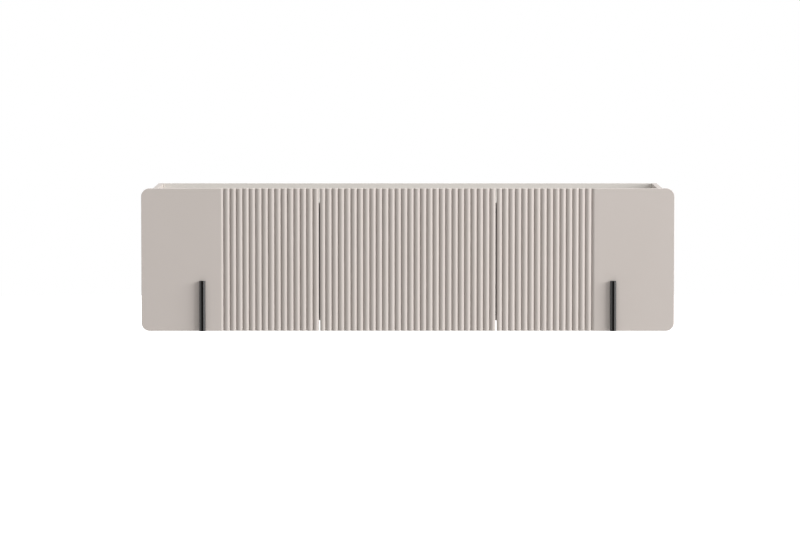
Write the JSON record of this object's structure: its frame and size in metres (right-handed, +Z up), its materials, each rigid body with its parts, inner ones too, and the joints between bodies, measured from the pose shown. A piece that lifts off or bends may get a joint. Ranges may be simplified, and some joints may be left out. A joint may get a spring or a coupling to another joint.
{
  "type": "floating media console",
  "caption": "Wall-hung media console with a tray top, reeded lift-up fronts on long hinges with gas struts, bar pulls, shelved bays and cable holes.",
  "frame": {"origin": "middle of the wall rail's back face, on the plane of the wall, 111 mm below the top edge of the fronts", "axes": "+Z up, +Y into the wall, +X to the viewer's right; the fronts face -Y"},
  "size_m": [1.8, 0.396, 0.482],
  "materials": {
    "lacquered_front": "matt greige lacquer on milled fibreboard",
    "lacquered_board": "matt greige lacquer on fibreboard",
    "inner_board": "greige melamine on board",
    "black_handle": "satin black powder coat",
    "black_plastic": "moulded, fine texture",
    "grey_plastic": "moulded, fine texture",
    "nickel_steel": "nickel plated",
    "zinc_steel": "zinc plated",
    "strut_tube": "black enamel",
    "strut_rod": "hard chromed and polished"
  },
  "bodies": {
    "carcass": {"left_side_panel": "lacquered_board", "right_side_panel": "lacquered_board", "left_hinge_rail": "lacquered_board", "centre_hinge_rail": "lacquered_board", "right_hinge_rail": "lacquered_board", "top_board": "lacquered_board", "back_upstand": "lacquered_board", "bottom_board": "lacquered_board", "left_divider": "inner_board", "right_divider": "inner_board", "left_shelf": "inner_board", "right_shelf": "inner_board", "left_back_panel": "inner_board", "centre_back_panel": "inner_board", "right_back_panel": "inner_board", "left_cable_grommet": "black_plastic", "centre_cable_grommet": "black_plastic", "right_cable_grommet": "black_plastic", "wall_rail": "zinc_steel", "left_hanger": "grey_plastic", "right_hanger": "grey_plastic", "left_hanger_hook": "zinc_steel", "right_hanger_hook": "zinc_steel", "left_hinge_frame_leaf": "nickel_steel", "left_hinge_pin": "nickel_steel", "centre_hinge_frame_leaf": "nickel_steel", "centre_hinge_pin": "nickel_steel", "right_hinge_frame_leaf": "nickel_steel", "right_hinge_pin": "nickel_steel", "left_strut_foot_bracket": "zinc_steel", "centre_strut_foot_bracket": "zinc_steel", "right_strut_foot_bracket": "zinc_steel", "left_catch": "grey_plastic", "right_catch": "grey_plastic", "push_latch": "grey_plastic"},
    "left_flap": {"left_front": "lacquered_front", "left_handle": "black_handle", "left_handle_screw_lower": "zinc_steel", "left_handle_screw_upper": "zinc_steel", "left_hinge_front_leaf": "nickel_steel", "left_strut_head_bracket": "zinc_steel", "left_catch_plate": "zinc_steel"},
    "centre_flap": {"centre_front": "lacquered_front", "centre_hinge_front_leaf": "nickel_steel", "centre_strut_head_bracket": "zinc_steel", "push_latch_striker": "zinc_steel"},
    "right_flap": {"right_front": "lacquered_front", "right_handle": "black_handle", "right_handle_screw_lower": "zinc_steel", "right_handle_screw_upper": "zinc_steel", "right_hinge_front_leaf": "nickel_steel", "right_strut_head_bracket": "zinc_steel", "right_catch_plate": "zinc_steel"},
    "left_cylinder": {"left_strut_cylinder": "strut_tube"},
    "centre_cylinder": {"centre_strut_cylinder": "strut_tube"},
    "right_cylinder": {"right_strut_cylinder": "strut_tube"},
    "left_rod": {"left_strut_rod": "strut_rod"},
    "centre_rod": {"centre_strut_rod": "strut_rod"},
    "right_rod": {"right_strut_rod": "strut_rod"},
    "latch_plunger": {"push_latch_plunger": "black_plastic"}
  },
  "joints": [
    {"name": "left_flap_hinge", "type": "hinge", "parent": "carcass", "child": "left_flap", "pos_m": [-0.58, -0.3565, 0.105], "axis": [-1, 0, 0], "range_deg": [0, 90]},
    {"name": "centre_flap_hinge", "type": "hinge", "parent": "carcass", "child": "centre_flap", "pos_m": [0, -0.3565, 0.105], "axis": [-1, 0, 0], "range_deg": [0, 90]},
    {"name": "right_flap_hinge", "type": "hinge", "parent": "carcass", "child": "right_flap", "pos_m": [0.58, -0.3565, 0.105], "axis": [-1, 0, 0], "range_deg": [0, 90]},
    {"name": "left_strut_swing", "type": "hinge", "parent": "carcass", "child": "left_cylinder", "pos_m": [-0.8275, -0.2165, -0.101], "axis": [1, 0, 0], "range_deg": [0, 3.3]},
    {"name": "centre_strut_swing", "type": "hinge", "parent": "carcass", "child": "centre_cylinder", "pos_m": [-0.2735, -0.2165, -0.101], "axis": [1, 0, 0], "range_deg": [0, 3.3]},
    {"name": "right_strut_swing", "type": "hinge", "parent": "carcass", "child": "right_cylinder", "pos_m": [0.8275, -0.2165, -0.101], "axis": [1, 0, 0], "range_deg": [0, 3.3]},
    {"name": "left_strut_slide", "type": "slide", "parent": "left_cylinder", "child": "left_rod", "axis": [0, -0.7241, 0.6897], "range_m": [0, 0.1227]},
    {"name": "centre_strut_slide", "type": "slide", "parent": "centre_cylinder", "child": "centre_rod", "axis": [0, -0.7241, 0.6897], "range_m": [0, 0.1227]},
    {"name": "right_strut_slide", "type": "slide", "parent": "right_cylinder", "child": "right_rod", "axis": [0, -0.7241, 0.6897], "range_m": [0, 0.1227]},
    {"name": "latch_plunger_press", "type": "slide", "parent": "carcass", "child": "latch_plunger", "axis": [0, 1, 0], "range_m": [0, 0.004], "stiffness_N_per_m": 300, "springref_m": -0.008}
  ],
  "couplings": [
    {"joint": "left_strut_swing", "follows": "left_flap_hinge", "ratio": 0.036145},
    {"joint": "left_strut_slide", "follows": "left_flap_hinge", "m_per_rad": 0.078016},
    {"joint": "centre_strut_swing", "follows": "centre_flap_hinge", "ratio": 0.036145},
    {"joint": "centre_strut_slide", "follows": "centre_flap_hinge", "m_per_rad": 0.078016},
    {"joint": "right_strut_swing", "follows": "right_flap_hinge", "ratio": 0.036145},
    {"joint": "right_strut_slide", "follows": "right_flap_hinge", "m_per_rad": 0.078016}
  ]
}
